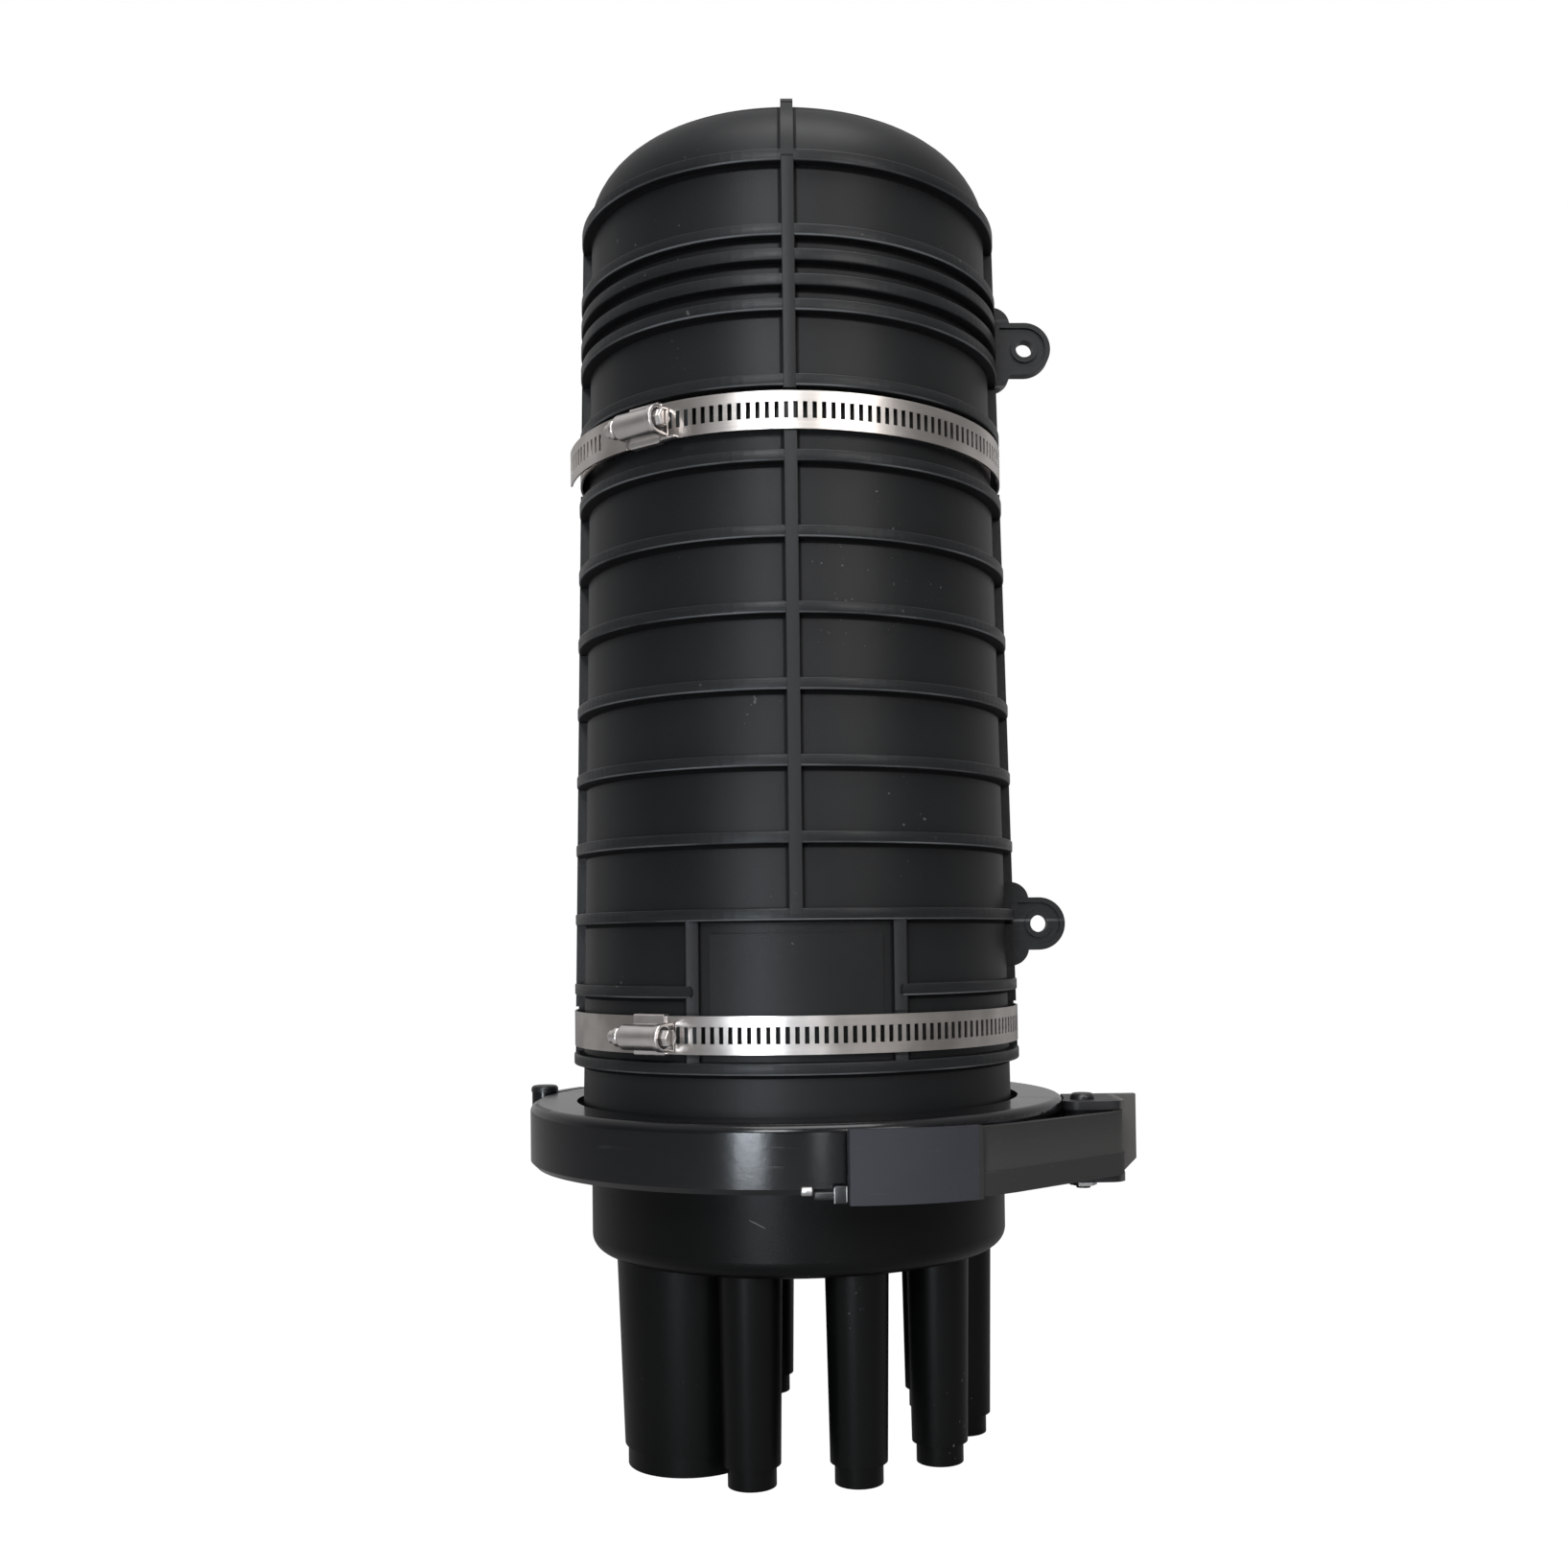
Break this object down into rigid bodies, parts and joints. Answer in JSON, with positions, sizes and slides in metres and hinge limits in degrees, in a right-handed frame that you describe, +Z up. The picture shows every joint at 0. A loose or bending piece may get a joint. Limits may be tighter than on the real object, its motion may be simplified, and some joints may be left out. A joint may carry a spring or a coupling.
{
  "type": "fibre splice closure",
  "caption": "Black dome-type fibre splice closure with ribbed dome, lever-latched clamp ring, worm-drive bands and closed cable ports.",
  "frame": {"origin": "on the dome's axis, in the plane of the cable ports' ends, on which it stands", "axes": "+Z up along the dome's axis, -Y towards the front with the grip of the latch lever, +X towards the lugs"},
  "size_m": [0.2312, 0.2029, 0.488],
  "materials": {
    "dome_black": "fine matte moulded polypropylene",
    "ring_black": "semi-gloss moulded",
    "lever_grey": "satin dark coating",
    "pin_black": "blackened steel",
    "stainless": "rolled stainless",
    "seal_rubber": "O-ring rubber",
    "carrier_aluminium": "folded sheet",
    "tray_grey": "moulded",
    "cover_clear": "clear sheet",
    "strap_black": "hook and loop"
  },
  "bodies": {
    "root": {"dome_cover": "dome_black", "dome_flange": "dome_black", "dome_lugs": "dome_black", "base_body": "dome_black", "base_flange": "dome_black", "round_ports": "dome_black", "oval_port": "dome_black", "rear_ring_half": "ring_black", "hinge_pin": "pin_black", "latch_bracket": "lever_grey", "pivot_pin_upper": "pin_black", "pivot_pin_lower": "pin_black", "pivot_nut": "pin_black", "lower_clamp_band": "stainless", "lower_clamp_housing": "stainless", "upper_clamp_band": "stainless", "upper_clamp_housing": "stainless", "seal_ring": "seal_rubber", "carrier_frame": "carrier_aluminium", "carrier_screws": "stainless", "tray_hinge_seat": "tray_grey", "tray_hinge_pins": "stainless", "splice_tray_1": "tray_grey", "splice_tray_2": "tray_grey", "splice_tray_3": "tray_grey", "splice_tray_4": "tray_grey", "splice_tray_5": "tray_grey", "splice_tray_6": "tray_grey", "tray_cover": "cover_clear", "slack_basket": "tray_grey", "tray_strap": "strap_black", "strength_anchors": "stainless", "anchor_screws": "stainless"},
    "front_ring_half": {"front_ring_half": "ring_black", "lock_tab": "pin_black"},
    "latch_lever": {"latch_lever": "lever_grey", "crank_pin": "stainless"},
    "latch_link": {"latch_link": "lever_grey"},
    "lower_clamp_screw": {"lower_clamp_screw": "stainless"},
    "upper_clamp_screw": {"upper_clamp_screw": "stainless"}
  },
  "joints": [
    {"name": "latch_lever_swing", "type": "hinge", "parent": "root", "child": "latch_lever", "pos_m": [0.1036, -0.02, 0.111], "axis": [0, 0, 1], "range_deg": [0, 100]},
    {"name": "front_ring_half_swing", "type": "hinge", "parent": "root", "child": "front_ring_half", "pos_m": [-0.0995, 0.031, 0.1144], "axis": [0, 0, -1], "range_deg": [0, 1.8]},
    {"name": "latch_link_swing", "type": "hinge", "parent": "latch_lever", "child": "latch_link", "pos_m": [0.10539, -0.01533, 0.1121], "axis": [0, 0, -1], "range_deg": [0, 94.2]},
    {"name": "lower_clamp_screw_turn", "type": "hinge", "parent": "root", "child": "lower_clamp_screw", "pos_m": [-0.05079, -0.0712, 0.1526], "axis": [0.8141, -0.5807, 0], "continuous": true},
    {"name": "upper_clamp_screw_turn", "type": "hinge", "parent": "root", "child": "upper_clamp_screw", "pos_m": [-0.05098, -0.06644, 0.359], "axis": [0.7934, -0.6088, 0], "continuous": true}
  ],
  "couplings": [
    {"joint": "front_ring_half_swing", "follows": "latch_lever_swing", "ratio": 0.018},
    {"joint": "latch_link_swing", "follows": "latch_lever_swing", "ratio": 0.942}
  ]
}
